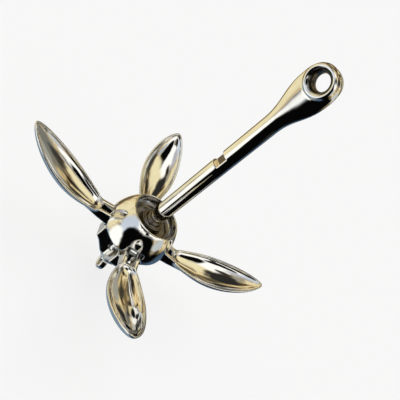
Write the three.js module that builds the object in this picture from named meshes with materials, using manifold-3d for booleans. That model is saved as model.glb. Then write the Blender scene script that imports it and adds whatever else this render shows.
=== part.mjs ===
// Folding grapnel anchor, cast and polished stainless steel, flukes open.
// Millimetres, +Z up along the shank, +X along the hole of the shank's eye.
// The origin is the middle of that hole, where the rode's shackle holds the anchor up.

import * as THREE from 'three';
import { mergeVertices } from 'three/addons/utils/BufferGeometryUtils.js';
import { ParametricGeometry } from 'three/addons/geometries/ParametricGeometry.js';
import Module from 'manifold-3d';

const wasm = await Module();
wasm.setup();

// ---- driving dimensions ----------------------------------------------------------------

const gap = 0.3; // between pieces that touch on the real anchor

const tipRadius = 150; // open flukes, from the shank's axis to a tip
const tipZ = -205.6; // plane of the open tips
const hingeRadius = 26;
const hingeZ = tipZ - 43;
const rodRadius = 8.75;

const eye = { endZ: 14.9, widestZ: -7, halfWidth: 18.3, halfThick: 9.1, thinZ: 5, throat: 8, lip: 4.2 };
const flareStartZ = -59.6;
const notch = { z: tipZ + 91.5, length: 13, depth: 4.6, angle: -45 };
const groove = { halfWidth: 2.6, depth: 3.2, topZ: flareStartZ + 3, angle: 180 };

const crownTopZ = hingeZ + 15;
const crownBottomZ = hingeZ - 49;
const crossPinZ = crownBottomZ + 19;
const hubRadius = 14;
const tenonRadius = 7;
const lugHalf = 4.2;
const lugBossRadius = 8;
const shelf = { halfWidth: 9, radius: 32.5, topZ: hingeZ - 9.5, endZ: hingeZ - 27 };

const pinRadius = 3;
const pinHeadRadius = 5;
const pinHeadHeight = 2;
const washerThick = 1.2;
const armInner = lugHalf + 0.45;
const armOuter = armInner + 4.6;

const collar = { bottomZ: hingeZ - 2.5, rimZ: tipZ - 8, boreRadius: rodRadius + 0.4, hubRadius: 14 };
const slotHalf = 10.4;
const slotTopZ = hingeZ + 12.5;
const keyZ = crownTopZ + 4.6;

const bowl = { heel: 21.5, maxHalfWidth: 22, depth: 12, wall: 3, sag: 7.6 };

const trip = { centreZ: crownBottomZ - 12.8, radius: 11.4, throat: 7, halfThick: 3.4, angle: -45 };

const flukeAngles = [45, 135, 225, 315];

// ---- materials -------------------------------------------------------------------------

function steel(name, color, roughness) {
  return new THREE.MeshStandardMaterial({ name, color, roughness, metalness: 1 });
}

const polished = steel('polished_steel', 0xd9d7d0, 0.06);
const castPolished = steel('cast_polished_steel', 0xd2d0c8, 0.1);
const turned = steel('turned_steel', 0xc9c9c6, 0.2);

// ---- solids ----------------------------------------------------------------------------

/** A closed geometry as a manifold solid, whichever way its triangles were wound. */
function solid(geometry) {
  const bare = geometry.index ? geometry.toNonIndexed() : geometry.clone();
  bare.deleteAttribute('normal');
  bare.deleteAttribute('uv');
  const merged = mergeVertices(bare, 1e-4);
  const position = merged.attributes.position;
  const triangles = [];
  const a = new THREE.Vector3();
  const b = new THREE.Vector3();
  const c = new THREE.Vector3();
  let volume = 0;
  for (let i = 0; i < merged.index.count; i += 3) {
    const [p, q, r] = [0, 1, 2].map((k) => merged.index.getX(i + k));
    if (p === q || q === r || r === p) continue;
    a.fromBufferAttribute(position, p);
    b.fromBufferAttribute(position, q);
    c.fromBufferAttribute(position, r);
    volume += a.dot(b.cross(c));
    triangles.push([p, q, r]);
  }
  const wound = volume > 0 ? triangles : triangles.map(([p, q, r]) => [p, r, q]);
  return new wasm.Manifold(
    new wasm.Mesh({
      numProp: 3,
      vertProperties: new Float32Array(position.array),
      triVerts: new Uint32Array(wound.flat()),
    }),
  );
}

/** A named mesh from a solid. */
function mesh(name, shape, material) {
  const made = shape.getMesh();
  const geometry = new THREE.BufferGeometry();
  geometry.setAttribute('position', new THREE.BufferAttribute(made.vertProperties, 3));
  geometry.setIndex(new THREE.BufferAttribute(made.triVerts, 1));
  geometry.computeVertexNormals();
  const result = new THREE.Mesh(geometry, material);
  result.name = name;
  return result;
}

function union(...shapes) {
  return shapes.reduce((whole, next) => whole.add(next));
}

/** A rod of one radius between two heights, on the Z axis. */
function rod(radius, lowZ, highZ, sides = 32) {
  const geometry = new THREE.CylinderGeometry(radius, radius, highZ - lowZ, sides);
  geometry.rotateX(Math.PI / 2);
  geometry.translate(0, 0, (lowZ + highZ) / 2);
  return solid(geometry);
}

/** A rod along Y through the point x, z. */
function crossRod(radius, x, z, lowY, highY, sides = 24) {
  const geometry = new THREE.CylinderGeometry(radius, radius, highY - lowY, sides);
  geometry.translate(x, (lowY + highY) / 2, z);
  return solid(geometry);
}

function box(lowX, highX, lowY, highY, lowZ, highZ) {
  const geometry = new THREE.BoxGeometry(highX - lowX, highY - lowY, highZ - lowZ);
  geometry.translate((lowX + highX) / 2, (lowY + highY) / 2, (lowZ + highZ) / 2);
  return solid(geometry);
}

/** A solid of revolution about Z from [radius, z] points that start and end on the axis
 *  or close on themselves. */
function turnedSolid(points, sides = 40) {
  const geometry = new THREE.LatheGeometry(
    points.map(([radius, z]) => new THREE.Vector2(radius, z)),
    sides,
  );
  geometry.rotateX(Math.PI / 2);
  return solid(geometry);
}

/** An outline in the X-Z plane made as thick as lowY to highY. */
function plate(shape, lowY, highY, curveSegments = 10) {
  const geometry = new THREE.ExtrudeGeometry(shape, {
    depth: highY - lowY,
    bevelEnabled: false,
    curveSegments,
  });
  geometry.rotateX(Math.PI / 2);
  geometry.translate(0, highY, 0);
  return solid(geometry);
}

/** A skin through closed sections: section(along, around) is a point for 0..1 of each.
 *  Both ends close on their middle. */
function loft(section, aroundSteps, alongSteps) {
  const middle = (along) => {
    const centre = new THREE.Vector3();
    for (let i = 0; i < aroundSteps; i += 1) centre.add(section(along, i / aroundSteps));
    return centre.divideScalar(aroundSteps);
  };
  const ends = [middle(0), middle(1)];
  const rows = alongSteps + 2;
  const geometry = new ParametricGeometry(
    (around, v, target) => {
      const row = Math.round(v * rows);
      if (row === 0) target.copy(ends[0]);
      else if (row === rows) target.copy(ends[1]);
      else target.copy(section((row - 1) / alongSteps, around % 1));
    },
    aroundSteps,
    rows,
  );
  return solid(geometry);
}

// ---- shank -----------------------------------------------------------------------------

/** What is left of a size at a share of the way along a rounded end. */
function rounded(share, power) {
  return Math.pow(Math.max(1 - Math.pow(Math.max(share, 0), power), 0), 1 / power);
}

/** The neck that widens from the round rod, and the eye's head, without its hole. */
function eyeHead() {
  const { endZ, widestZ, halfWidth, halfThick, thinZ } = eye;
  const reach = endZ - flareStartZ;
  return loft((along, around) => {
    const z = flareStartZ + reach * Math.sin((Math.PI / 2) * along);
    const widening = Math.min((z - flareStartZ) / (widestZ - flareStartZ), 1);
    const ease = widening * widening * (3 - 2 * widening);
    const halfY = (rodRadius + (halfWidth - rodRadius) * ease)
      * rounded((z - widestZ) / (endZ - widestZ), 2.3);
    const halfX = (rodRadius + (halfThick - rodRadius) * ease)
      * rounded((z - thinZ) / (endZ - thinZ), 2);
    const power = 2 / (2 + 0.5 * ease);
    const angle = 2 * Math.PI * around;
    const across = Math.cos(angle);
    const up = Math.sin(angle);
    return new THREE.Vector3(
      halfX * Math.sign(across) * Math.pow(Math.abs(across), power),
      halfY * Math.sign(up) * Math.pow(Math.abs(up), power),
      z,
    );
  }, 28, 18);
}

/** What the eye's hole takes away, along X: narrowest in the middle, with rounded lips. */
function eyeHole() {
  const { throat, lip, halfThick } = eye;
  const beyond = 2;
  const steps = 8;
  const points = [[0, -halfThick - beyond], [throat + lip, -halfThick - beyond]];
  for (let i = 0; i <= steps; i += 1) {
    const along = -Math.cos((Math.PI * i) / steps);
    points.push([
      throat + lip * (1 - rounded(Math.abs(along), 2.6)),
      along * halfThick,
    ]);
  }
  points.push([throat + lip, halfThick + beyond], [0, halfThick + beyond]);
  return turnedSolid(points, 28).rotate([0, 90, 0]);
}

/** The rod, with its tenon through the crown, its stow notch and its key groove. */
function makeShank() {
  const tenonEnd = crownBottomZ + 2;
  const notchCut = box(
    rodRadius - notch.depth, 2 * rodRadius,
    -2 * rodRadius, 2 * rodRadius,
    notch.z - notch.length / 2, notch.z + notch.length / 2,
  ).rotate([0, 0, notch.angle]);
  const grooveCut = box(
    rodRadius - groove.depth, 2 * rodRadius,
    -groove.halfWidth, groove.halfWidth,
    crownTopZ - 20, groove.topZ,
  ).rotate([0, 0, groove.angle]);
  const stemHole = rod(4.3, tenonEnd - 5, tenonEnd + 16, 20);
  const pinHole = crossRod(2.8, 0, crossPinZ, -20, 20, 16).rotate([0, 0, -90]);
  const body = union(rod(rodRadius, crownTopZ + gap, flareStartZ, 28), eyeHead())
    .subtract(eyeHole())
    .subtract(notchCut)
    .subtract(grooveCut);
  return body
    .add(rod(tenonRadius, tenonEnd, crownTopZ + 1, 24))
    .subtract(stemHole)
    .subtract(pinHole);
}

// ---- crown -----------------------------------------------------------------------------

/** One arm of the crown's cross, along +X: a shelf under the fluke and the hinge lug. */
function crownArm() {
  const lug = new THREE.Shape();
  lug.moveTo(hubRadius - 3, shelf.topZ - 4);
  lug.lineTo(hingeRadius + lugBossRadius, shelf.topZ - 4);
  lug.lineTo(hingeRadius + lugBossRadius, hingeZ);
  lug.absarc(hingeRadius, hingeZ, lugBossRadius, 0, Math.PI / 2, false);
  lug.lineTo(hubRadius - 3, crownTopZ - 6);
  lug.closePath();
  const base = new THREE.Shape();
  base.moveTo(hubRadius - 4, crownBottomZ + 3);
  base.lineTo(hubRadius + 2, crownBottomZ + 4);
  base.lineTo(shelf.radius - 6, shelf.endZ - 5);
  base.lineTo(shelf.radius, shelf.endZ);
  base.lineTo(shelf.radius, shelf.topZ - 3);
  base.lineTo(shelf.radius - 3, shelf.topZ);
  base.lineTo(hubRadius - 4, shelf.topZ);
  base.closePath();
  return union(
    plate(lug, -lugHalf, lugHalf, 6),
    plate(base, -shelf.halfWidth, shelf.halfWidth),
  ).subtract(crossRod(pinRadius + gap, hingeRadius, hingeZ, -20, 20, 16));
}

function makeCrown() {
  const hub = turnedSolid([
    [0, crownBottomZ],
    [hubRadius - 2, crownBottomZ],
    [hubRadius, crownBottomZ + 2],
    [hubRadius, crownTopZ - 1],
    [hubRadius - 1, crownTopZ],
    [0, crownTopZ],
  ], 32);
  const arms = flukeAngles.map((angle) => crownArm().rotate([0, 0, angle]));
  const bore = rod(tenonRadius + gap, crownBottomZ - 5, crownTopZ + 5, 24);
  const pinHole = crossRod(2.8, 0, crossPinZ, -30, 30, 16).rotate([0, 0, -90]);
  return union(hub, ...arms).subtract(bore).subtract(pinHole);
}

/** The pin that holds the shank in the crown, flush with the hub. */
function makeCrownPin() {
  return crossRod(2.5, 0, crossPinZ, -hubRadius + 0.6, hubRadius - 0.6, 16).rotate([0, 0, -90]);
}

/** The eye for the trip line: a stem into the shank, a flange and a flat ring. */
function makeTripEye() {
  const ring = crossRod(trip.radius, 0, trip.centreZ, -trip.halfThick, trip.halfThick, 28);
  const hole = crossRod(trip.throat, 0, trip.centreZ, -9, 9, 20);
  const flangeTop = crownBottomZ - washerThick - 2 * gap;
  const flange = rod(8, flangeTop - 3, flangeTop, 24);
  const stem = rod(4, flangeTop - 1, crownBottomZ + 14, 20);
  return union(ring, flange).subtract(hole).add(stem).rotate([0, 0, trip.angle + 90]);
}

function makeCrownWasher() {
  const top = crownBottomZ - gap;
  return rod(10.5, top - washerThick, top, 28).subtract(rod(4.4, top - 9, top + 9, 20));
}

// ---- collar ----------------------------------------------------------------------------

/** The collar's section as [radius, z] points, once round: outside, dish, bore, cavity. */
function collarSection() {
  const { bottomZ, rimZ, boreRadius } = collar;
  const height = rimZ - bottomZ;
  const outside = [[36.9, 0], [38.1, 0.06], [38.1, 0.2], [37.3, 0.4], [35.2, 0.6],
    [32, 0.79], [29, 0.93]];
  const rim = [[27.6, 0.99], [26.6, 1], [25.8, 0.96]];
  const dish = [[26.4, 0.84], [25.6, 0.72], [23, 0.64], [17, 0.63], [14.2, 0.68],
    [13.4, 0.83], [boreRadius + 0.8, 0.85], [boreRadius, 0.83]];
  const hubFoot = (crownTopZ + gap - bottomZ) / height;
  const cavity = [[boreRadius, hubFoot], [24.5, hubFoot], [30.5, 0.44], [34, 0.3],
    [35, 0.12], [35.6, 0]];
  const points = [...outside, ...rim, ...dish, ...cavity].map(
    ([radius, share]) => [radius, bottomZ + share * height],
  );
  return [...points, points[0]];
}

/** What one fluke slot takes away, along +X: parallel sides that flare at the mouth. */
function slotCut() {
  const flare = 9;
  const mouthZ = collar.bottomZ;
  const shape = new THREE.Shape();
  shape.moveTo(-slotHalf - flare, mouthZ - 3);
  shape.lineTo(-slotHalf - flare, mouthZ);
  shape.absarc(-slotHalf - flare, mouthZ + flare, flare, -Math.PI / 2, 0, false);
  shape.lineTo(-slotHalf, slotTopZ - 4);
  shape.absarc(-slotHalf + 4, slotTopZ - 4, 4, Math.PI, Math.PI / 2, true);
  shape.absarc(slotHalf - 4, slotTopZ - 4, 4, Math.PI / 2, 0, true);
  shape.lineTo(slotHalf, mouthZ + flare);
  shape.absarc(slotHalf + flare, mouthZ + flare, flare, Math.PI, 1.5 * Math.PI, false);
  shape.lineTo(slotHalf + flare, mouthZ - 3);
  shape.closePath();
  return plate(shape, -60, -18, 4).rotate([0, 0, 90]);
}

function makeCollar() {
  const keyHole = crossRod(2.5, 0, keyZ, -collar.hubRadius - 4, 0, 16).rotate([0, 0, -90]);
  return flukeAngles
    .reduce(
      (whole, angle) => whole.subtract(slotCut().rotate([0, 0, angle])),
      turnedSolid(collarSection(), 40),
    )
    .subtract(keyHole);
}

/** The key that keeps the collar's slots in line with the flukes. */
function makeCollarKey() {
  const innerEnd = -(rodRadius - groove.depth + 0.6);
  return crossRod(2.2, 0, keyZ, -collar.hubRadius + 0.9, innerEnd, 16).rotate([0, 0, -90]);
}

// ---- flukes ----------------------------------------------------------------------------

const chord = Math.hypot(tipRadius - hingeRadius, tipZ - hingeZ);
const openAngle = (Math.atan2(tipZ - hingeZ, tipRadius - hingeRadius) * 180) / Math.PI;

/** How far the rim lies below the line from hinge to tip. */
function rimDrop(along) {
  return bowl.sag * 4 * (along / chord) * (1 - along / chord);
}

/** The leaf outline: x along the fluke from its hinge, y its half width. */
const leaf = new THREE.SplineCurve(
  [[0, 0], [2.2, 7.6], [15.5, 15.2], [42.5, 21.7], [69.5, 20.6], [94.5, 13], [105.5, 6.3], [108.7, 2.8],
    [chord - bowl.heel, 0]].map(([x, y]) => new THREE.Vector2(bowl.heel + x, y)),
);

/** The bowl's outer or inner form, hanging from the rim and closed above it. */
function leafSolid(inset, depth, above) {
  const start = leaf.getPoint(0).x + inset;
  const stretch = (chord - inset * 1.9 - start) / (chord - bowl.heel);
  const narrow = (bowl.maxHalfWidth - inset) / bowl.maxHalfWidth;
  return loft((along, around) => {
    const point = leaf.getPoint(along);
    const x = start + (point.x - bowl.heel) * stretch;
    const half = Math.max(point.y, 0) * narrow;
    const deep = depth * Math.pow(half / bowl.maxHalfWidth / narrow, 0.75);
    const angle = 2 * Math.PI * around;
    const up = Math.sin(angle);
    const z = up > 0 ? above * up : deep * up;
    const y = half * Math.sign(Math.cos(angle)) * Math.pow(Math.abs(Math.cos(angle)), 0.9);
    return new THREE.Vector3(x, y, z - rimDrop(x));
  }, 20, 14);
}

/** One arm of the fork that holds the bowl on its hinge pin. */
function forkArm() {
  const boss = 7.8;
  const reach = bowl.heel + 19.5;
  const shape = new THREE.Shape();
  shape.moveTo(0, -boss);
  shape.lineTo(reach * 0.45, -rimDrop(reach * 0.45) - 8.5);
  shape.lineTo(reach, -rimDrop(reach) - 9);
  shape.lineTo(reach, -rimDrop(reach) - 2.5);
  shape.lineTo(bowl.heel + 4, -rimDrop(bowl.heel) + 0.4);
  shape.lineTo(boss * 0.5, boss * 0.87);
  shape.absarc(0, 0, boss, Math.PI / 3, 1.5 * Math.PI, false);
  return plate(shape, armInner, armOuter, 6);
}

/** A fluke lying open along +X. */
function makeFluke() {
  const arm = forkArm();
  const hollow = leafSolid(bowl.wall - 0.4, bowl.depth - bowl.wall, 9);
  return union(leafSolid(0, bowl.depth, 0.01), arm, arm.mirror([0, 1, 0]))
    .subtract(hollow)
    .subtract(crossRod(pinRadius + gap, 0, 0, -20, 20, 16))
    .rotate([0, -openAngle, 0])
    .translate([hingeRadius, 0, hingeZ]);
}

/** A hinge pin with a domed head on one side and a peened end on the other. */
function makeHingePin() {
  const headFace = armOuter + gap;
  const tailFace = -(armOuter + washerThick + 2 * gap);
  const pin = turnedSolid([
    [0, tailFace - 1.6],
    [2.8, tailFace - 1.2],
    [pinHeadRadius - 0.9, tailFace - 0.2],
    [pinHeadRadius - 0.9, tailFace],
    [pinRadius, tailFace],
    [pinRadius, headFace],
    [pinHeadRadius, headFace],
    [pinHeadRadius, headFace + 0.5],
    [3.4, headFace + pinHeadHeight - 0.3],
    [0, headFace + pinHeadHeight],
  ], 16);
  return pin.rotate([-90, 0, 0]).translate([hingeRadius, 0, hingeZ]);
}

function makeHingeWasher() {
  const inner = -(armOuter + gap);
  return crossRod(pinHeadRadius, hingeRadius, hingeZ, inner - washerThick, inner, 20)
    .subtract(crossRod(pinRadius + gap, hingeRadius, hingeZ, -20, 0, 16));
}

// ---- assembly --------------------------------------------------------------------------

const anchor = new THREE.Group();
anchor.name = 'grapnel_anchor';
anchor.add(
  mesh('shank', makeShank(), polished),
  mesh('crown', makeCrown(), castPolished),
  mesh('crown_pin', makeCrownPin(), turned),
  mesh('crown_washer', makeCrownWasher(), turned),
  mesh('trip_eye', makeTripEye(), castPolished),
  mesh('collar', makeCollar(), polished),
  mesh('collar_key', makeCollarKey(), turned),
);

flukeAngles.forEach((angle, index) => {
  const place = new THREE.Group();
  place.rotation.z = THREE.MathUtils.degToRad(angle);
  place.add(
    mesh(`fluke_${index + 1}`, makeFluke(), polished),
    mesh(`hinge_pin_${index + 1}`, makeHingePin(), turned),
    mesh(`hinge_washer_${index + 1}`, makeHingeWasher(), turned),
  );
  anchor.add(place);
});

export default anchor;
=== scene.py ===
"""Folding grapnel anchor in mirror-polished stainless steel, flukes open.

Every cast piece is described as a distance function in millimetres and meshed finely, every
turned piece is a solid of revolution from a profile, and each takes the place of its plain CAD
solid. All lengths in the shape code are millimetres.
"""
import bpy
import math
import numpy as np
from mathutils import Matrix, Vector


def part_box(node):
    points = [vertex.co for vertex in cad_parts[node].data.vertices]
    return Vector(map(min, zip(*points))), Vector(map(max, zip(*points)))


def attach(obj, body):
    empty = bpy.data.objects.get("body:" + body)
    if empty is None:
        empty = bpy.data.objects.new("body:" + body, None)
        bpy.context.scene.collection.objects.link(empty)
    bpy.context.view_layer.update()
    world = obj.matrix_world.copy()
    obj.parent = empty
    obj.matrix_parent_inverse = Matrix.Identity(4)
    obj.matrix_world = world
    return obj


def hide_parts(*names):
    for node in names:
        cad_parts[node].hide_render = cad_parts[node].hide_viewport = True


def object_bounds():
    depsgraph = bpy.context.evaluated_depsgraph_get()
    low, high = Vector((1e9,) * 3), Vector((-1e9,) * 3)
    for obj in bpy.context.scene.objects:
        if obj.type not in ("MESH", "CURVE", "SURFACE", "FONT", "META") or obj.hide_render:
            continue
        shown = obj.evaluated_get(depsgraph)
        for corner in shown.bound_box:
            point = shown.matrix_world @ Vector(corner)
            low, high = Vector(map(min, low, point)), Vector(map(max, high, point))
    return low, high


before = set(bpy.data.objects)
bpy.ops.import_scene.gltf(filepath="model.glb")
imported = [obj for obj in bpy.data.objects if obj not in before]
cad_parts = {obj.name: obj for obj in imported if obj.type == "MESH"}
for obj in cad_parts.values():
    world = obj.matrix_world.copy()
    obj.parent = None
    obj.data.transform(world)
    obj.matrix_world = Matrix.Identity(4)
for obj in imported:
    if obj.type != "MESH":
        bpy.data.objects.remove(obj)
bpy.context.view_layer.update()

# ---- the anchor's own sizes, as the CAD has them (mm) --------------------------------------

TIP_RADIUS, TIP_Z = 150.0, -205.6
HINGE_RADIUS, HINGE_Z = 26.0, TIP_Z - 43.0
ROD_RADIUS = 8.75
FLARE_Z = -59.6
EYE_END, EYE_WIDEST, EYE_HALF_WIDTH, EYE_HALF_THICK = 14.9, -7.0, 18.3, 9.2
EYE_THROAT, EYE_RIDGE, EYE_WEB_HALF, EYE_RIM_HALF = 7.6, 12.6, 8.0, 3.6
TENON_RADIUS = 7.0
NOTCH_Z, NOTCH_LENGTH, NOTCH_DEPTH = TIP_Z + 91.5, 13.0, 4.6
GROOVE_HALF, GROOVE_DEPTH, GROOVE_TOP = 2.6, 3.2, FLARE_Z + 3.0
CROWN_TOP, CROWN_BOTTOM, HUB_RADIUS = HINGE_Z + 15.0, HINGE_Z - 49.0, 14.0
CROSS_PIN_Z, CROSS_PIN_RADIUS = CROWN_BOTTOM + 19.0, 2.5
KEY_Z, KEY_RADIUS, KEY_START, KEY_END = CROWN_TOP + 4.6, 2.2, 13.1, ROD_RADIUS - GROOVE_DEPTH + 0.6
LUG_HALF, LUG_BOSS = 4.2, 8.0
SHELF_HALF, SHELF_RADIUS = 9.0, 32.5
SHELF_TOP, SHELF_END = HINGE_Z - 9.5, HINGE_Z - 27.0
PIN_RADIUS, PIN_HEAD, WASHER_THICK, GAP = 3.0, 5.0, 1.2, 0.3
ARM_INNER, ARM_OUTER = 4.65, 9.25
COLLAR_BOTTOM, COLLAR_RIM = HINGE_Z - 2.5, TIP_Z - 8.0
SLOT_HALF, SLOT_TOP, SLOT_START, SLOT_MOUTH = 10.4, HINGE_Z + 12.5, 18.0, 9.0
BELL_RADIUS, BELL_HEIGHT, BELL_MIDDLE = 38.15, 46.5, COLLAR_BOTTOM + 5.0
CAVITY_RADIUS, CAVITY_HEIGHT = 35.3, 44.0
DISH_FLOOR, DISH_WALL, DISH_DEPTH, DISH_EDGE = 19.0, 7.2, 9.8, COLLAR_RIM - 4.0
DISH_HUB_RADIUS, DISH_HUB_TOP, DISH_HUB_FOOT = 13.6, COLLAR_BOTTOM + 31.8, COLLAR_BOTTOM + 20.0
BOWL_HEEL, BOWL_DEPTH, BOWL_HALF, BOWL_WALL, BOWL_SAG = 21.5, 12.0, 21.7, 2.0, 7.6
TRIP_Z, TRIP_RADIUS, TRIP_THROAT, TRIP_HALF = CROWN_BOTTOM - 12.8, 11.4, 7.0, 3.4
BOSS_RADIUS, FORK_REACH = 7.8, BOWL_HEEL + 19.5
CHORD = math.hypot(TIP_RADIUS - HINGE_RADIUS, TIP_Z - HINGE_Z)
OPEN_ANGLE = math.atan2(TIP_Z - HINGE_Z, TIP_RADIUS - HINGE_RADIUS)
FLUKE_ANGLES = (45, 135, 225, 315)
FAR_INSIDE = -50.0  # a distance that never shows in a cut


# ---- distance functions --------------------------------------------------------------------

def smooth_max(a, b, k):
    """The larger of two distances, with a round of about k where they meet."""
    h = np.maximum(k - np.abs(a - b), 0.0) / k
    return np.maximum(a, b) + h * h * h * k / 6.0


def smooth_min(a, b, k):
    return -smooth_max(-a, -b, k)


def cut(solid, hole, k):
    return smooth_max(solid, -hole, k)


def rounded_slab(across, along, radius):
    """Inside both of two distances, with a true circular edge of the radius."""
    a, b = across + radius, along + radius
    return np.hypot(np.maximum(a, 0), np.maximum(b, 0)) + np.minimum(np.maximum(a, b), 0) - radius


def turned_about_z(x, y, degrees):
    """The coordinates seen by a piece that has been turned by the angle about Z."""
    c, s = math.cos(math.radians(degrees)), math.sin(math.radians(degrees))
    return x * c + y * s, y * c - x * s


def ease(t):
    t = np.clip(t, 0, 1)
    return t * t * t * (10 - 15 * t + 6 * t * t)


def polygon_distance(x, y, corners):
    """Signed distance to a closed outline."""
    best = np.full(x.shape, 1e12)
    inside = np.zeros(x.shape, bool)
    for (ax, ay), (bx, by) in zip(corners, corners[1:] + corners[:1]):
        ex, ey = bx - ax, by - ay
        px, py = x - ax, y - ay
        t = np.clip((px * ex + py * ey) / (ex * ex + ey * ey), 0, 1)
        best = np.minimum(best, (px - t * ex) ** 2 + (py - t * ey) ** 2)
        if ay != by:
            crosses = ((ay > y) != (by > y)) & (x < ex * (y - ay) / ey + ax)
            inside ^= crosses
    return np.where(inside, -1.0, 1.0) * np.sqrt(best)


def spline(knots, values, first_slope, last_slope):
    """A smooth curve through the knots, with given end slopes."""
    knots, values = np.array(knots, float), np.array(values, float)
    n, h = len(knots), np.diff(knots)
    a, b = np.zeros((n, n)), np.zeros(n)
    a[0, 0] = a[-1, -1] = 1
    b[0], b[-1] = first_slope, last_slope
    for i in range(1, n - 1):
        a[i, i - 1], a[i, i], a[i, i + 1] = 1 / h[i - 1], 2 / h[i - 1] + 2 / h[i], 1 / h[i]
        b[i] = 3 * ((values[i] - values[i - 1]) / h[i - 1] ** 2 + (values[i + 1] - values[i]) / h[i] ** 2)
    slopes = np.linalg.solve(a, b)

    def curve(x):
        i = np.clip(np.searchsorted(knots, x) - 1, 0, n - 2)
        t = (np.clip(x, knots[0], knots[-1]) - knots[i]) / h[i]
        y = ((1 + 2 * t) * (1 - t) ** 2 * values[i] + t * (1 - t) ** 2 * h[i] * slopes[i]
             + t * t * (3 - 2 * t) * values[i + 1] + t * t * (t - 1) * h[i] * slopes[i + 1])
        return y + slopes[0] * np.minimum(x - knots[0], 0) + slopes[-1] * np.maximum(x - knots[-1], 0)

    return curve


# ---- the pieces ----------------------------------------------------------------------------

def shank(x, y, z):
    """The rod, its flare, the eye with a ring-like rim, the notch, the key's groove and the tenon."""
    e = ease((z - FLARE_Z) / (EYE_WIDEST - FLARE_Z))
    half_y = ROD_RADIUS + (EYE_HALF_WIDTH - ROD_RADIUS) * e
    half_x = ROD_RADIUS + (EYE_WEB_HALF - ROD_RADIUS) * e
    end = np.maximum((z - EYE_WIDEST) / (EYE_END - EYE_WIDEST), 0)
    wide = ((np.abs(y) / half_y) ** 2.3 + end ** 2.3) ** (1 / 2.3)
    level = np.hypot(wide, np.abs(x) / half_x)
    outside = (level - 1) * level / np.maximum(np.hypot(wide / half_y, x / half_x ** 2), 1e-6)
    rho = np.hypot(y, z)
    lip = EYE_RIDGE - EYE_THROAT
    funnel = (np.hypot((rho - EYE_RIDGE) / lip, x / EYE_HALF_THICK) - 1) * lip
    rim = (np.hypot((rho - EYE_RIDGE) / EYE_RIM_HALF, x / EYE_HALF_THICK) - 1) * EYE_RIM_HALF
    head = smooth_max(outside, np.where(rho < EYE_RIDGE, funnel, FAR_INSIDE), 0.9)
    head = smooth_min(head, smooth_max(rim, (wide - 1) * half_y + 0.4, 2.4), 1.8)
    towards_notch, _ = turned_about_z(x, y, -45)
    notch = smooth_max(ROD_RADIUS - NOTCH_DEPTH - towards_notch, np.abs(z - NOTCH_Z) - NOTCH_LENGTH / 2, 1.0)
    body = cut(head, notch, 0.7)
    groove = np.maximum(np.abs(y) - GROOVE_HALF, x + ROD_RADIUS - GROOVE_DEPTH)
    groove = smooth_max(groove, z - GROOVE_TOP, 1.0)
    body = cut(body, groove, 0.5)
    body = smooth_max(body, CROWN_TOP + GAP - z, 0.8)
    tenon = np.maximum(np.hypot(x, y) - TENON_RADIUS, np.abs(z - (CROWN_TOP + CROWN_BOTTOM + 3) / 2)
                       - (CROWN_TOP - CROWN_BOTTOM - 1) / 2)
    return np.minimum(body, tenon)


def collar(x, y, z):
    """The bell: domed outside, hollow under, dished on top round a low hub, with four slots."""
    r = np.hypot(x, y)
    outer = (np.hypot(r / BELL_RADIUS, (z - BELL_MIDDLE) / BELL_HEIGHT) - 1) * BELL_RADIUS
    body = smooth_max(outer, z - COLLAR_RIM, 2.0)
    body = smooth_max(body, COLLAR_BOTTOM - z, 2.4)
    dish = np.hypot(np.maximum(r - DISH_FLOOR, 0) / DISH_WALL, np.minimum(z - DISH_EDGE, 0) / DISH_DEPTH)
    body = cut(body, (dish - 1) * DISH_WALL, 1.6)
    hub = rounded_slab(r - DISH_HUB_RADIUS, z - DISH_HUB_TOP, 1.6)
    hub = np.maximum(hub, DISH_HUB_FOOT - z)
    body = smooth_min(body, hub, 2.4)
    inner = (np.hypot(r / CAVITY_RADIUS, (z - BELL_MIDDLE) / CAVITY_HEIGHT) - 1) * CAVITY_RADIUS
    cavity = smooth_max(inner, z - (CROWN_TOP + GAP), 5.0)
    body = cut(body, cavity, 1.2)
    body = cut(body, r - ROD_RADIUS - 0.4, 1.2)
    for angle in FLUKE_ANGLES:
        along, across = turned_about_z(x, y, angle)
        drop = np.clip(COLLAR_BOTTOM + SLOT_MOUTH - z, 0, SLOT_MOUTH)
        half = SLOT_HALF + SLOT_MOUTH - np.sqrt(SLOT_MOUTH ** 2 - drop * drop)
        slot = rounded_slab(np.abs(across) - half, z - SLOT_TOP, 4.0)
        body = cut(body, np.maximum(slot, SLOT_START - along), 1.3)
    key_hole = np.maximum(np.hypot(y, z - KEY_Z) - KEY_RADIUS - GAP, x)
    return cut(body, key_hole, 0.4)


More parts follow.
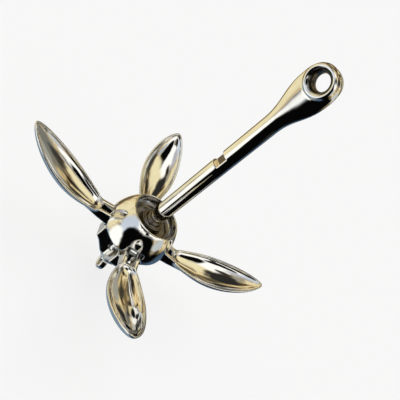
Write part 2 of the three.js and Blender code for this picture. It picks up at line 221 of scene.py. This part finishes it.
def crown(x, y, z):
    """The hub, with four lugs for the hinges and a tapered base under each."""
    r = np.hypot(x, y)
    hub = rounded_slab(r - HUB_RADIUS, np.abs(z - (CROWN_TOP + CROWN_BOTTOM) / 2)
                       - (CROWN_TOP - CROWN_BOTTOM) / 2, 1.5)
    lug_outline = [(8, SHELF_TOP - 4), (HINGE_RADIUS + LUG_BOSS, SHELF_TOP - 4)]
    lug_outline += [(HINGE_RADIUS + LUG_BOSS * math.cos(a), HINGE_Z + LUG_BOSS * math.sin(a))
                    for a in np.linspace(0, math.pi / 2, 13)]
    lug_outline += [(HUB_RADIUS - 3, CROWN_TOP - 6), (8, CROWN_TOP - 6)]
    base_outline = [(8, CROWN_BOTTOM + 3), (HUB_RADIUS + 2, CROWN_BOTTOM + 4),
                    (SHELF_RADIUS - 6, SHELF_END - 5), (SHELF_RADIUS, SHELF_END),
                    (SHELF_RADIUS, SHELF_TOP - 3), (SHELF_RADIUS - 3, SHELF_TOP), (8, SHELF_TOP)]
    body = hub
    for angle in FLUKE_ANGLES:
        along, across = turned_about_z(x, y, angle)
        lug = rounded_slab(polygon_distance(along, z, lug_outline), np.abs(across) - LUG_HALF, 0.8)
        base = rounded_slab(polygon_distance(along, z, base_outline) + 0.6,
                            np.abs(across) - SHELF_HALF, 1.3)
        arm = smooth_min(base, lug, 1.6)
        pin = np.hypot(along - HINGE_RADIUS, z - HINGE_Z) - PIN_RADIUS - GAP
        body = smooth_min(body, cut(arm, pin, 0.5), 3.0)
    body = cut(body, np.hypot(y, z - CROSS_PIN_Z) - CROSS_PIN_RADIUS - GAP, 0.5)
    return cut(body, r - TENON_RADIUS - GAP, 0.6)


# the square of the bowl's half width along the chord, from its heel to its tip
BOWL_SQUARED = spline(
    [0, 15.5, 42.5, 69.5, 94.5, CHORD - BOWL_HEEL],
    [0, 15.2 ** 2, 21.7 ** 2, 20.6 ** 2, 13 ** 2, 0], 27.0, -8.0)


def drop(at):
    """How far the fluke's upper line sags below its chord."""
    return BOWL_SAG * 4 * (at / CHORD) * (1 - at / CHORD)


def fluke(x, y, z):
    """A fluke lying open along +X, seen in its own frame with the hinge at the origin."""
    c, s = math.cos(OPEN_ANGLE), math.sin(OPEN_ANGLE)
    x, z = (x - HINGE_RADIUS) * c + (z - HINGE_Z) * s, (z - HINGE_Z) * c - (x - HINGE_RADIUS) * s
    up = z + drop(x)
    step = 0.2
    squared = BOWL_SQUARED(x - BOWL_HEEL)
    growth = (BOWL_SQUARED(x - BOWL_HEEL + step) - squared) / step
    half = np.sqrt(np.maximum(squared, 0) + 4.0)
    squash = (half / BOWL_DEPTH) ** 2 * (BOWL_HALF / half) ** 1.5
    level = y * y + up * up * squash - squared
    outer = level / (2 * np.sqrt(y * y + (up * squash) ** 2 + growth * growth / 4 + 1.0))
    bowl = smooth_max(outer, up, 1.0)
    outline = [(BOSS_RADIUS * math.cos(a), BOSS_RADIUS * math.sin(a))
               for a in np.linspace(math.pi / 3, 1.5 * math.pi, 19)]
    outline += [(FORK_REACH * 0.45, -drop(FORK_REACH * 0.45) - 8.5), (FORK_REACH, -drop(FORK_REACH) - 9),
                (FORK_REACH, -drop(FORK_REACH) - 2.5), (BOWL_HEEL + 4, -drop(BOWL_HEEL) + 0.4)]
    arms = rounded_slab(polygon_distance(x, z, outline),
                        np.abs(np.abs(y) - (ARM_INNER + ARM_OUTER) / 2) - (ARM_OUTER - ARM_INNER) / 2, 1.2)
    body = smooth_min(bowl, arms, 3.0)
    body = cut(body, outer + BOWL_WALL, 1.1)
    return cut(body, np.hypot(x, z) - PIN_RADIUS - GAP, 0.6)


def trip_eye(x, y, z):
    """The ring under the crown, with its flange and the stem that goes up into the hub."""
    along, across = turned_about_z(x, y, 45)
    rho = np.hypot(along, z - TRIP_Z)
    ring = rounded_slab(np.abs(rho - (TRIP_RADIUS + TRIP_THROAT) / 2) - (TRIP_RADIUS - TRIP_THROAT) / 2,
                        np.abs(across) - TRIP_HALF, 1.7)
    r = np.hypot(x, y)
    flange_top = CROWN_BOTTOM - WASHER_THICK - 2 * GAP
    flange = rounded_slab(r - 8.0, np.abs(z - flange_top + 1.5) - 1.5, 0.7)
    body = smooth_min(ring, cut(flange, rho - TRIP_THROAT, 0.5), 1.6)
    stem = np.maximum(r - 4.0, np.abs(z - (flange_top + CROWN_BOTTOM + 13) / 2)
                      - (CROWN_BOTTOM + 15 - flange_top) / 2)
    return np.minimum(body, stem)


# ---- meshing -------------------------------------------------------------------------------

def gradient(function, p, h=0.03):
    """How the function changes at each point, by differences over h each way."""
    out = np.empty_like(p)
    for axis in range(3):
        step = np.zeros(3)
        step[axis] = h
        out[:, axis] = (function(*(p + step).T) - function(*(p - step).T)) / (2 * h)
    return out


def skin(function, low, high, cell):
    """Vertices and faces of the surface where the function is zero, evened out and on it.

    One vertex goes in each cell that the surface crosses, and one face across each grid edge
    that it crosses. Then the vertices are pulled onto the surface and spread evenly along it.
    """
    axes = [np.arange(a - 1.5 * cell, b + 1.5 * cell, cell) for a, b in zip(low, high)]
    shape = tuple(len(a) for a in axes)
    value = np.empty(shape)
    gy, gz = np.meshgrid(axes[1], axes[2], indexing="ij")
    for i, at in enumerate(axes[0]):
        value[i] = function(np.full(gy.shape, at), gy, gz)
    sign = value < 0
    corner = [(i, j, k) for i in (0, 1) for j in (0, 1) for k in (0, 1)]

    def part(a, o):
        return a[o[0]:shape[0] - 1 + o[0], o[1]:shape[1] - 1 + o[1], o[2]:shape[2] - 1 + o[2]]

    count = sum(part(sign, o).astype(np.int8) for o in corner)
    active = (count > 0) & (count < 8)
    index = np.full(active.shape, -1)
    cells = np.argwhere(active)
    index[active] = np.arange(len(cells))
    total, hits = np.zeros((len(cells), 3)), np.zeros(len(cells))
    for a in corner:
        for axis in range(3):
            if a[axis]:
                continue
            b = tuple(1 if n == axis else v for n, v in enumerate(a))
            va, vb = part(value, a)[active], part(value, b)[active]
            crossing = (va < 0) != (vb < 0)
            t = va[crossing] / (va[crossing] - vb[crossing])
            point = np.tile(np.array(a, float), (crossing.sum(), 1))
            point[:, axis] += t
            total[crossing] += point
            hits[crossing] += 1
    vertices = cells + total / hits[:, None]
    vertices = np.array([a[0] for a in axes]) + vertices * cell
    faces = []
    for axis in range(3):
        u, v = (axis + 1) % 3, (axis + 2) % 3
        here = [slice(None)] * 3
        there = [slice(None)] * 3
        here[axis], there[axis] = slice(0, -1), slice(1, None)
        a, b = sign[tuple(here)], sign[tuple(there)]
        edge = np.argwhere(a != b)
        edge = edge[(edge[:, u] > 0) & (edge[:, v] > 0)
                    & (edge[:, u] < shape[u] - 1) & (edge[:, v] < shape[v] - 1)]
        inward = a[tuple(edge.T)]
        quad = []
        for du, dv in ((-1, -1), (0, -1), (0, 0), (-1, 0)):
            at = edge.copy()
            at[:, u] += du
            at[:, v] += dv
            quad.append(index[tuple(at.T)])
        quad = np.stack(quad, 1)
        quad[~inward] = quad[~inward][:, ::-1]
        faces.append(quad)
    faces = np.concatenate(faces)
    pairs = np.concatenate([faces[:, [i, (i + 1) % 4]] for i in range(4)])
    pairs = np.concatenate([pairs, pairs[:, ::-1]])
    degree = np.bincount(pairs[:, 0], minlength=len(vertices))[:, None]
    for sweep in range(9):
        value = function(*vertices.T)
        slope = gradient(function, vertices)
        size = (slope ** 2).sum(1)
        step = (value / np.maximum(size, 0.05))[:, None] * slope
        reach = np.linalg.norm(step, axis=1, keepdims=True)
        vertices = vertices - step * np.minimum(1, 0.6 * cell / np.maximum(reach, 1e-9))
        if sweep < 6:
            mean = np.zeros_like(vertices)
            np.add.at(mean, pairs[:, 0], vertices[pairs[:, 1]])
            shift = mean / degree - vertices
            normal = slope / np.sqrt(np.maximum(size, 1e-9))[:, None]
            shift -= (shift * normal).sum(1, keepdims=True) * normal
            vertices = vertices + 0.5 * shift
    return vertices, faces


def mesh_object(name, vertices, faces, material, turn=0.0):
    """A smooth object in metres from points in millimetres, turned about Z."""
    c, s = math.cos(math.radians(turn)), math.sin(math.radians(turn))
    x, y, z = np.asarray(vertices).T
    points = np.stack([x * c - y * s, x * s + y * c, z], 1) * 0.001
    mesh = bpy.data.meshes.new(name)
    mesh.from_pydata(points.tolist(), [], [[int(i) for i in face] for face in faces])
    mesh.validate()
    mesh.shade_smooth()
    mesh.materials.append(material)
    piece = bpy.data.objects.new(name, mesh)
    bpy.context.scene.collection.objects.link(piece)
    return piece


def turned_mesh(points, sides):
    """Vertices and faces of a solid of revolution about Z from [radius, z] points that start
    and end on the axis, or close on themselves."""
    closed = points[0][0] > 0
    rings = [p for p in points if p[0] > 0]
    vertices = [(r * math.cos(2 * math.pi * i / sides), r * math.sin(2 * math.pi * i / sides), z)
                for r, z in rings for i in range(sides)]
    faces = []
    for row in range(len(rings) if closed else len(rings) - 1):
        a, b = row * sides, ((row + 1) % len(rings)) * sides
        for i in range(sides):
            j = (i + 1) % sides
            faces.append((a + i, a + j, b + j, b + i))
    if not closed:
        vertices += [(0, 0, points[0][1]), (0, 0, points[-1][1])]
        last = (len(rings) - 1) * sides
        for i in range(sides):
            j = (i + 1) % sides
            faces.append((len(vertices) - 2, j, i))
            faces.append((len(vertices) - 1, last + i, last + j))
    return np.array(vertices, float), faces


def soften(points, radius, steps=4):
    """A profile with its corners rounded, except those on the axis."""
    out = []
    for i, p in enumerate(points):
        if p[0] <= 0:
            out.append(p)
            continue
        before, after = points[i - 1], points[(i + 1) % len(points)]
        p, before, after = np.array(p, float), np.array(before, float), np.array(after, float)
        la, lb = np.linalg.norm(before - p), np.linalg.norm(after - p)
        ca, cb = min(radius, la * 0.45), min(radius, lb * 0.45)
        a, b = p + (before - p) / la * ca, p + (after - p) / lb * cb
        for t in np.linspace(0, 1, steps + 1):
            out.append(tuple((1 - t) ** 2 * a + 2 * t * (1 - t) * p + t * t * b))
    return out


# ---- materials -----------------------------------------------------------------------------

# the first colour is the polished steel's own; the second is painted dark inside recesses as painted shade
BRIGHT, RECESS_PAINTED_SHADE = (0.86, 0.845, 0.81), (0.16, 0.145, 0.125)
RECESS_ROUGHNESS = 0.24


def steel(name, colour, roughness, waves, scratches, recess=None):
    """Polished steel: faint waves left by hand polishing, fine scratches, uneven gloss.

    The depths of the waves and scratches are in metres.

    A recess is (across, radius, low z, high z) in millimetres, where across is 1 in the
    directions across its axis. Inside it the base colour is painted dark, as painted shade for
    the hollow, and the steel is dull.
    """
    material = bpy.data.materials.new(name)
    material.use_nodes = True
    nodes, links = material.node_tree.nodes, material.node_tree.links
    nodes.clear()
    out = nodes.new("ShaderNodeOutputMaterial")
    shader = nodes.new("ShaderNodeBsdfPrincipled")
    links.new(shader.outputs["BSDF"], out.inputs["Surface"])
    shader.inputs["Metallic"].default_value = 1.0
    place = nodes.new("ShaderNodeTexCoord")

    def noise(scale, detail, distortion=0.0):
        n = nodes.new("ShaderNodeTexNoise")
        n.inputs["Scale"].default_value = scale
        n.inputs["Detail"].default_value = detail
        n.inputs["Distortion"].default_value = distortion
        links.new(place.outputs["Object"], n.inputs["Vector"])
        return n

    def spread(source, low, high):
        m = nodes.new("ShaderNodeMapRange")
        m.inputs["From Min"].default_value = 0.3
        m.inputs["From Max"].default_value = 0.7
        m.inputs["To Min"].default_value = low
        m.inputs["To Max"].default_value = high
        links.new(source, m.inputs["Value"])
        return m.outputs["Result"]

    def between(source, dull):
        """The source's value, but the dull one inside the recess."""
        if recess is None:
            return source
        m = nodes.new("ShaderNodeMix")
        links.new(inside, m.inputs["Factor"])
        links.new(source, m.inputs["A"])
        m.inputs["B"].default_value = dull
        return m.outputs["Result"]

    if recess:
        radius, low, high = [v * 0.001 for v in recess[1:]]
        split = nodes.new("ShaderNodeSeparateXYZ")
        links.new(place.outputs["Object"], split.inputs["Vector"])
        flat = nodes.new("ShaderNodeVectorMath")
        flat.operation = "MULTIPLY"
        flat.inputs[1].default_value = recess[0]
        links.new(place.outputs["Object"], flat.inputs[0])
        length = nodes.new("ShaderNodeVectorMath")
        length.operation = "LENGTH"
        links.new(flat.outputs["Vector"], length.inputs[0])
        inside = None
        for source, start, end in ((length.outputs["Value"], radius + 0.0006, radius - 0.0006),
                                   (split.outputs["Z"], high + 0.001, high - 0.001),
                                   (split.outputs["Z"], low - 0.001, low + 0.001)):
            within = nodes.new("ShaderNodeMapRange")
            within.inputs["From Min"].default_value = start
            within.inputs["From Max"].default_value = end
            links.new(source, within.inputs["Value"])
            both = nodes.new("ShaderNodeMath")
            both.operation = "MULTIPLY"
            both.inputs[0].default_value = 1.0
            if inside:
                links.new(inside, both.inputs[0])
            links.new(within.outputs["Result"], both.inputs[1])
            inside = both.outputs["Value"]

    gloss = noise(45.0, 4.0, 0.6)
    shine = between(spread(gloss.outputs["Fac"], roughness * 0.6, roughness * 1.5), RECESS_ROUGHNESS)
    links.new(shine, shader.inputs["Roughness"])

    tone = nodes.new("ShaderNodeMix")
    tone.data_type = "RGBA"
    tone.inputs["A"].default_value = (*[c * 0.94 for c in colour], 1)
    tone.inputs["B"].default_value = (*colour, 1)
    links.new(spread(noise(70.0, 3.0).outputs["Fac"], 0.0, 1.0), tone.inputs["Factor"])
    base = tone.outputs["Result"]
    # inside the recess the base colour is painted dark: painted shade for the hollow
    if recess:
        painted_shade = nodes.new("ShaderNodeMix")
        painted_shade.data_type = "RGBA"
        painted_shade.inputs["B"].default_value = (*RECESS_PAINTED_SHADE, 1)
        links.new(inside, painted_shade.inputs["Factor"])
        links.new(base, painted_shade.inputs["A"])
        base = painted_shade.outputs["Result"]
    links.new(base, shader.inputs["Base Color"])

    wavy = nodes.new("ShaderNodeBump")
    wavy.inputs["Strength"].default_value = 1.0
    wavy.inputs["Distance"].default_value = waves
    links.new(noise(62.0, 1.0, 0.3).outputs["Fac"], wavy.inputs["Height"])
    fine = nodes.new("ShaderNodeBump")
    fine.inputs["Strength"].default_value = 0.5
    fine.inputs["Distance"].default_value = scratches
    stretch = nodes.new("ShaderNodeMapping")
    stretch.inputs["Scale"].default_value = (900.0, 900.0, 60.0)
    links.new(place.outputs["Object"], stretch.inputs["Vector"])
    marks = nodes.new("ShaderNodeTexNoise")
    marks.inputs["Scale"].default_value = 1.0
    marks.inputs["Detail"].default_value = 2.0
    links.new(stretch.outputs["Vector"], marks.inputs["Vector"])
    links.new(marks.outputs["Fac"], fine.inputs["Height"])
    links.new(wavy.outputs["Normal"], fine.inputs["Normal"])
    links.new(fine.outputs["Normal"], shader.inputs["Normal"])
    return material


POLISHED = steel("polished_steel", BRIGHT, 0.045, 0.00022, 0.000004)
# the collar's steel, with its dish and hub painted dark inside as painted shade
DISH_PAINTED_SHADE_STEEL = steel("polished_steel_dish_painted_shade", BRIGHT, 0.045, 0.00018, 0.000004,
               recess=((1, 1, 0), 24.6, COLLAR_BOTTOM + 18, COLLAR_RIM - 1.2))
# the shank's steel, with the wall of the eye's hole painted dark as painted shade
EYE_HOLE_PAINTED_SHADE_STEEL = steel("polished_steel_eye_hole_painted_shade", BRIGHT, 0.045, 0.00018, 0.000004,
              recess=((0, 1, 1), 10.6, -EYE_RIDGE, EYE_RIDGE))
CAST = steel("cast_polished_steel", (0.80, 0.79, 0.76), 0.12, 0.0004, 0.000008)
TURNED = steel("turned_steel", (0.74, 0.74, 0.73), 0.2, 0.00008, 0.00001)


# ---- build ---------------------------------------------------------------------------------

def finished_piece(name, made, node, body, material, turn=0.0):
    """One piece of the anchor, in the place of its CAD node."""
    piece = mesh_object(name, *made, material, turn)
    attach(piece, body)
    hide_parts(node)


def skinned(function, node, cell):
    """The mesh of a function inside its CAD node's box."""
    low, high = [np.array(c) * 1000 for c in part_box(node)]
    return skin(function, low, high, cell)


finished_piece("shank_polished", skinned(shank, "shank", 0.75), "shank", "shank_and_crown",
               EYE_HOLE_PAINTED_SHADE_STEEL)
finished_piece("collar_polished", skinned(collar, "collar", 0.75), "collar", "collar",
               DISH_PAINTED_SHADE_STEEL)
finished_piece("crown_cast", skinned(crown, "crown", 0.8), "crown", "shank_and_crown",
               CAST)
finished_piece("trip_eye_cast", skinned(trip_eye, "trip_eye", 0.5), "trip_eye", "shank_and_crown",
               CAST)

# one fluke is meshed as it lies along +X, and its copies are turned about Z
along_x = skin(fluke, np.array([HINGE_RADIUS - 9, -23.5, HINGE_Z - 9.5]),
               np.array([TIP_RADIUS + 0.5, 23.5, TIP_Z + 1.5]), 0.72)
for number, angle in enumerate(FLUKE_ANGLES, 1):
    finished_piece(f"fluke_{number}_polished", along_x, f"fluke_{number}", f"fluke_{number}",
                   POLISHED, angle)


def small_piece(name, node, body, profile, place, turn, round_off):
    """A turned piece: profile about its own Z, put in place by a matrix in millimetres."""
    vertices, faces = turned_mesh(soften(profile, round_off), 56)
    moved = [tuple(place @ Vector(v)) for v in vertices]
    finished_piece(name, (moved, faces), node, body, TURNED, turn)


ACROSS = Matrix.Rotation(math.radians(-90), 4, "X")
HEAD_FACE = ARM_OUTER + GAP
TAIL_FACE = -(ARM_OUTER + WASHER_THICK + 2 * GAP)
PIN_PROFILE = [
    (0, TAIL_FACE - 1.6), (1.6, TAIL_FACE - 1.5), (2.9, TAIL_FACE - 1.15), (3.8, TAIL_FACE - 0.5),
    (PIN_HEAD - 0.9, TAIL_FACE), (PIN_RADIUS, TAIL_FACE), (PIN_RADIUS, HEAD_FACE),
    (PIN_HEAD, HEAD_FACE), (PIN_HEAD, HEAD_FACE + 0.5), (4.5, HEAD_FACE + 1.15),
    (3.2, HEAD_FACE + 1.7), (1.6, HEAD_FACE + 1.95), (0, HEAD_FACE + 2.0)]
WASHER_PROFILE = [
    (PIN_RADIUS + GAP, -HEAD_FACE - WASHER_THICK), (PIN_HEAD, -HEAD_FACE - WASHER_THICK),
    (PIN_HEAD, -HEAD_FACE), (PIN_RADIUS + GAP, -HEAD_FACE)]
hinge = Matrix.Translation((HINGE_RADIUS, 0, HINGE_Z)) @ ACROSS
for number, angle in enumerate(FLUKE_ANGLES, 1):
    small_piece(f"hinge_pin_{number}_turned", f"hinge_pin_{number}", "shank_and_crown",
                PIN_PROFILE, hinge, angle, 0.3)
    small_piece(f"hinge_washer_{number}_turned", f"hinge_washer_{number}", "shank_and_crown",
                WASHER_PROFILE, hinge, angle, 0.2)

washer_top = CROWN_BOTTOM - GAP
small_piece("crown_washer_turned", "crown_washer", "shank_and_crown",
            [(4.4, washer_top - WASHER_THICK), (10.5, washer_top - WASHER_THICK), (10.5, washer_top),
             (4.4, washer_top)], Matrix.Identity(4), 0, 0.25)
through_x = Matrix.Rotation(math.radians(90), 4, "Y")
small_piece("crown_pin_turned", "crown_pin", "shank_and_crown",
            [(0, -HUB_RADIUS + 0.6), (CROSS_PIN_RADIUS, -HUB_RADIUS + 0.6),
             (CROSS_PIN_RADIUS, HUB_RADIUS - 0.6), (0, HUB_RADIUS - 0.6)],
            Matrix.Translation((0, 0, CROSS_PIN_Z)) @ through_x, 0, 0.4)
small_piece("collar_key_turned", "collar_key", "collar",
            [(0, -KEY_START), (KEY_RADIUS, -KEY_START), (KEY_RADIUS, -KEY_END), (0, -KEY_END)],
            Matrix.Translation((0, 0, KEY_Z)) @ through_x, 0, 0.4)

# ---- floor, light and camera ----------------------------------------------------------------

def stage_object(name, vertices, faces, colour, glow, roughness):
    """A matt object of the studio, lit partly by its own glow, that the steel doesn't mirror."""
    material = bpy.data.materials.new(name + "_paper")
    material.use_nodes = True
    shader = material.node_tree.nodes["Principled BSDF"]
    shader.inputs["Base Color"].default_value = (*colour, 1)
    shader.inputs["Roughness"].default_value = roughness
    shader.inputs["Specular IOR Level"].default_value = 0.0
    shader.inputs["Emission Color"].default_value = (1, 1, 1, 1)
    shader.inputs["Emission Strength"].default_value = glow
    mesh = bpy.data.meshes.new(name)
    mesh.from_pydata(vertices, [], faces)
    mesh.materials.append(material)
    made = bpy.data.objects.new(name, mesh)
    bpy.context.scene.collection.objects.link(made)
    made.visible_glossy = False
    return made


# the sizes here are in metres
FLOOR_HALF, DOME_RADIUS, DOME_ROWS, DOME_COLUMNS = 30.0, 15.0, 12, 32
floor_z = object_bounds()[0].z - 0.004
corners = [(-1, -1), (1, -1), (1, 1), (-1, 1)]
stage_object("floor", [(FLOOR_HALF * a, FLOOR_HALF * b, floor_z) for a, b in corners], [(0, 1, 2, 3)],
             (0.115, 0.118, 0.124), 0.8, 1.0)

# a dome round the studio gives a plain background to a camera that sees past the floor
rings = [[(DOME_RADIUS * math.cos(e) * math.cos(a), DOME_RADIUS * math.cos(e) * math.sin(a),
           floor_z + DOME_RADIUS * math.sin(e)) for a in np.arange(DOME_COLUMNS) * 2 * math.pi / DOME_COLUMNS]
         for e in np.linspace(0, math.radians(89), DOME_ROWS)]
faces = [(i * DOME_COLUMNS + j, (i + 1) * DOME_COLUMNS + j,
          (i + 1) * DOME_COLUMNS + (j + 1) % DOME_COLUMNS, i * DOME_COLUMNS + (j + 1) % DOME_COLUMNS)
         for i in range(DOME_ROWS - 1) for j in range(DOME_COLUMNS)]
faces.append(tuple(range((DOME_ROWS - 1) * DOME_COLUMNS, DOME_ROWS * DOME_COLUMNS)))
dome = stage_object("backdrop", [p for ring in rings for p in ring], faces, (0, 0, 0), 0.92, 0.5)
dome.visible_diffuse = dome.visible_shadow = False

camera_data = bpy.data.cameras.new("camera")
camera_data.sensor_width, camera_data.lens = 36.0, 44.6391
camera_data.clip_start, camera_data.clip_end = 0.01, 200
camera = bpy.data.objects.new("camera", camera_data)
bpy.context.scene.collection.objects.link(camera)
bpy.context.scene.camera = camera
# from above and a little to one side, tilted so that the anchor hangs across the picture
back = Vector((0.8102, 0.2697, 0.5204)).normalized()
up = back.cross(Vector((-0.5837, 0.4523, 0.6744))).normalized()
right = up.cross(back).normalized()
turn = Matrix((right, up, back)).transposed().to_4x4()
camera.matrix_world = Matrix.Translation((0.38904, 0.14406, 0.0921)) @ turn

sun_data = bpy.data.lights.new("overhead", "SUN")
sun_data.energy = 2.0
sun_data.angle = math.radians(70)
sun = bpy.data.objects.new("overhead", sun_data)
sun.rotation_euler = (math.radians(12), math.radians(-10), 0)
sun.visible_glossy = False
bpy.context.scene.collection.objects.link(sun)

# the studio that the steel mirrors: a warm, cluttered room with soft cards and dark flags in it
world = bpy.data.worlds.new("studio")
world.use_nodes = True
bpy.context.scene.world = world
nodes, links = world.node_tree.nodes, world.node_tree.links
background = nodes["Background"]
background.inputs["Strength"].default_value = 1.0
where = nodes.new("ShaderNodeTexCoord")

# the direction that a card is looked up by is shaken a little, so that no card is a true round
SHAKE = 0.35
ripple = nodes.new("ShaderNodeTexNoise")
ripple.inputs["Scale"].default_value = 2.2
ripple.inputs["Detail"].default_value = 3.0
links.new(where.outputs["Generated"], ripple.inputs["Vector"])
centred = nodes.new("ShaderNodeVectorMath")
centred.operation = "SUBTRACT"
centred.inputs[1].default_value = (0.5, 0.5, 0.5)
links.new(ripple.outputs["Color"], centred.inputs[0])
shaken = nodes.new("ShaderNodeVectorMath")
shaken.operation = "MULTIPLY_ADD"
shaken.inputs[1].default_value = (SHAKE, SHAKE, SHAKE)
links.new(centred.outputs["Vector"], shaken.inputs[0])
links.new(where.outputs["Generated"], shaken.inputs[2])
unit = nodes.new("ShaderNodeVectorMath")
unit.operation = "NORMALIZE"
links.new(shaken.outputs["Vector"], unit.inputs[0])


def card(below, azimuth, elevation, radius, edge, colour, strength=1.0):
    """The look below with a soft round card over it, seen from the anchor at the azimuth and
    elevation. All the angles are degrees."""
    a, e = math.radians(azimuth), math.radians(elevation)
    towards = nodes.new("ShaderNodeVectorMath")
    towards.operation = "DOT_PRODUCT"
    towards.inputs[1].default_value = (math.cos(a) * math.cos(e), math.sin(a) * math.cos(e), math.sin(e))
    links.new(unit.outputs["Vector"], towards.inputs[0])
    amount = nodes.new("ShaderNodeMapRange")
    amount.interpolation_type = "SMOOTHSTEP"
    amount.inputs["From Min"].default_value = math.cos(math.radians(radius + edge))
    amount.inputs["From Max"].default_value = math.cos(math.radians(max(radius - edge, 0)))
    amount.inputs["To Max"].default_value = strength
    links.new(towards.outputs["Value"], amount.inputs["Value"])
    mix = nodes.new("ShaderNodeMix")
    mix.data_type = "RGBA"
    mix.inputs["B"].default_value = (*colour, 1)
    links.new(amount.outputs["Result"], mix.inputs["Factor"])
    links.new(below, mix.inputs["A"])
    return mix.outputs["Result"]


BROWN, UMBER = (0.30, 0.21, 0.10), (0.035, 0.025, 0.015)
GOLD, CREAM = (0.90, 0.66, 0.30), (1.0, 0.90, 0.58)
WHITE, PALE, SKY = (1.25, 1.25, 1.22), (0.66, 0.74, 0.86), (0.07, 0.12, 0.19)
BLACK, GREY, DARK = (0.002, 0.002, 0.002), (0.22, 0.22, 0.19), (0.03, 0.028, 0.025)
clutter = nodes.new("ShaderNodeTexNoise")
clutter.inputs["Scale"].default_value = 3.4
clutter.inputs["Detail"].default_value = 4.0
clutter.inputs["Distortion"].default_value = 0.8
links.new(where.outputs["Generated"], clutter.inputs["Vector"])
ramp = nodes.new("ShaderNodeValToRGB")
stops = ramp.color_ramp.elements
while len(stops) < 5:
    stops.new(0.5)
for stop, position, colour in zip(stops, (0.34, 0.42, 0.5, 0.56, 0.66), (UMBER, BROWN, GOLD, CREAM, BROWN)):
    stop.position = position
    stop.color = (*colour, 1)
links.new(clutter.outputs["Fac"], ramp.inputs["Fac"])
look = ramp.outputs["Color"]
# azimuth, elevation, radius, edge, colour and, if it isn't 1, strength; a later card covers the
# earlier ones
CARDS = [
    # the room: a dim floor below, cream walls, white windows above and beside, a black doorway
    (130, -75, 45, 10, SKY),
    (280, -72, 38, 10, (0.24, 0.32, 0.40)),
    (290, -18, 26, 10, CREAM, 0.9),
    (240, -26, 14, 5, (0.16, 0.12, 0.07)),
    (251, -47, 10, 4, (0.5, 0.5, 0.49)),
    (295, 18, 24, 10, CREAM, 0.75),
    (175, 74, 22, 9, CREAM, 0.9),
    (40, 50, 46, 6, WHITE),
    (95, 42, 24, 6, WHITE),
    (346, 8, 27, 7, PALE),
    (344, -34, 20, 6, WHITE),
    (358, -34, 15, 4, WHITE),
    (12, 0, 22, 5, BLACK),
    (30, -6, 30, 5, BLACK),
    (62, -8, 34, 6, BLACK),
    (36, -32, 19, 5, BLACK),
    (64, -32, 20, 5, BLACK),
    (92, -30, 19, 6, BLACK),
    # smaller things in it: greys and sky low at the back, flags and lamps overhead
    (118, -28, 15, 6, BLACK),
    (134, -26, 9, 5, BLACK),
    (108, 4, 14, 6, (0.62, 0.66, 0.68)),
    (162, 12, 26, 8, GREY),
    (158, -26, 20, 9, SKY),
    (115, 66, 14, 4, BLACK),
    (160, 64, 12, 5, CREAM),
    (212, 68, 8, 5, CREAM),
    (130, 44, 8, 4, (0.50, 0.53, 0.57)),
    (330, 78, 15, 5, WHITE),
    (335, 50, 13, 6, (0.52, 0.54, 0.60)),
    (293, 60, 12, 6, (0.40, 0.36, 0.28)),
    (243, 48, 13, 4, DARK),
    (257, 64, 12, 4, DARK),
    (303, 71, 7, 3, UMBER),
    (187, 43, 7, 4, UMBER),
    (229, 23, 7, 4, DARK),
    (223, 38, 7, 4, (0.10, 0.09, 0.05)),
    (184, -16, 10, 5, (0.08, 0.07, 0.045)),
    (205, -8, 12, 5, DARK),
    (228, 0, 9, 4, BLACK),
    (190, 12, 9, 4, (0.40, 0.40, 0.34)),
    (203, 26, 7, 4, (0.06, 0.055, 0.035)),
    (158, 36, 10, 5, DARK, 0.9),
    (40, 46, 14, 4, BLACK),
    (14, 44, 11, 3, BLACK),
    (92, 62, 15, 4, BLACK),
    (52, 30, 5, 2, BLACK),
]
for row in CARDS:
    look = card(look, *row)
links.new(look, background.inputs["Color"])

bpy.context.scene.view_settings.view_transform = "Standard"
